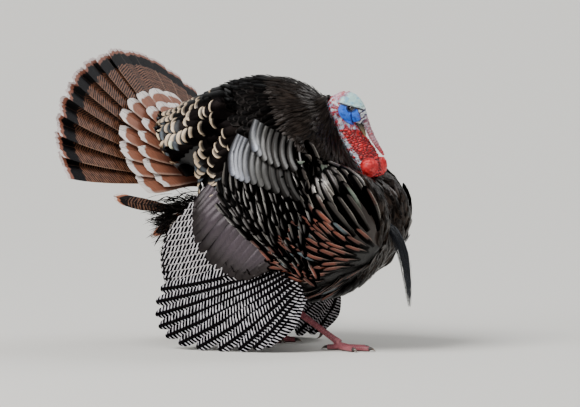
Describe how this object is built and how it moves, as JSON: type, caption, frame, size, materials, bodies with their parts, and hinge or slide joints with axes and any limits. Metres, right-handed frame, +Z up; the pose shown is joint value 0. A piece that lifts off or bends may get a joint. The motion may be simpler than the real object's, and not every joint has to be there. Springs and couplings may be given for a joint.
{
  "type": "wild turkey model",
  "caption": "Life-size still model of an adult male wild turkey in full strut: fanned tail, drooped wings, bare head and neck, beard and spurred legs.",
  "frame": {"origin": "on the floor, below the middle of the whole bird's bounding box", "axes": "+X the way the bird faces and walks, +Y its left side, +Z up"},
  "size_m": [0.828, 0.7658, 0.7038],
  "materials": {
    "body_feathers": "glossy dark bronze feathers",
    "rust_feathers": "rust-brown feathers with black band and pale tips",
    "barred_feathers": "black and white barred flight feathers",
    "beard": "coarse dark bristles",
    "bare_skin": "bare warty skin, blue face and red throat",
    "leg_skin": "scaly pink-red skin",
    "bill_horn": "smooth horn",
    "claw_horn": "dark horn",
    "eye": "wet gloss"
  },
  "bodies": {
    "root": {"neck_feathered": "body_feathers", "breast": "body_feathers", "mantle": "body_feathers", "belly": "body_feathers", "rump_upper": "body_feathers", "rump_lower": "body_feathers", "head": "bare_skin", "neck": "bare_skin", "eye_right": "eye", "eye_left": "eye", "bill_upper": "bill_horn", "bill_lower": "bill_horn", "snood": "bare_skin", "caruncle_right": "bare_skin", "caruncle_left": "bare_skin", "beard": "beard", "tail_fan": "rust_feathers", "tail_coverts": "rust_feathers", "undertail": "body_feathers", "wing_right_arm": "body_feathers", "wing_right_secondaries": "barred_feathers", "wing_right_primaries": "barred_feathers", "wing_left_arm": "body_feathers", "wing_left_secondaries": "barred_feathers", "wing_left_primaries": "barred_feathers", "thigh_right": "body_feathers", "foot_right": "leg_skin", "shank_right": "leg_skin", "spur_right": "claw_horn", "claw_right_1": "claw_horn", "claw_right_2": "claw_horn", "claw_right_3": "claw_horn", "claw_right_4": "claw_horn", "thigh_left": "body_feathers", "foot_left": "leg_skin", "shank_left": "leg_skin", "spur_left": "claw_horn", "claw_left_1": "claw_horn", "claw_left_2": "claw_horn", "claw_left_3": "claw_horn", "claw_left_4": "claw_horn"}
  },
  "joints": []
}
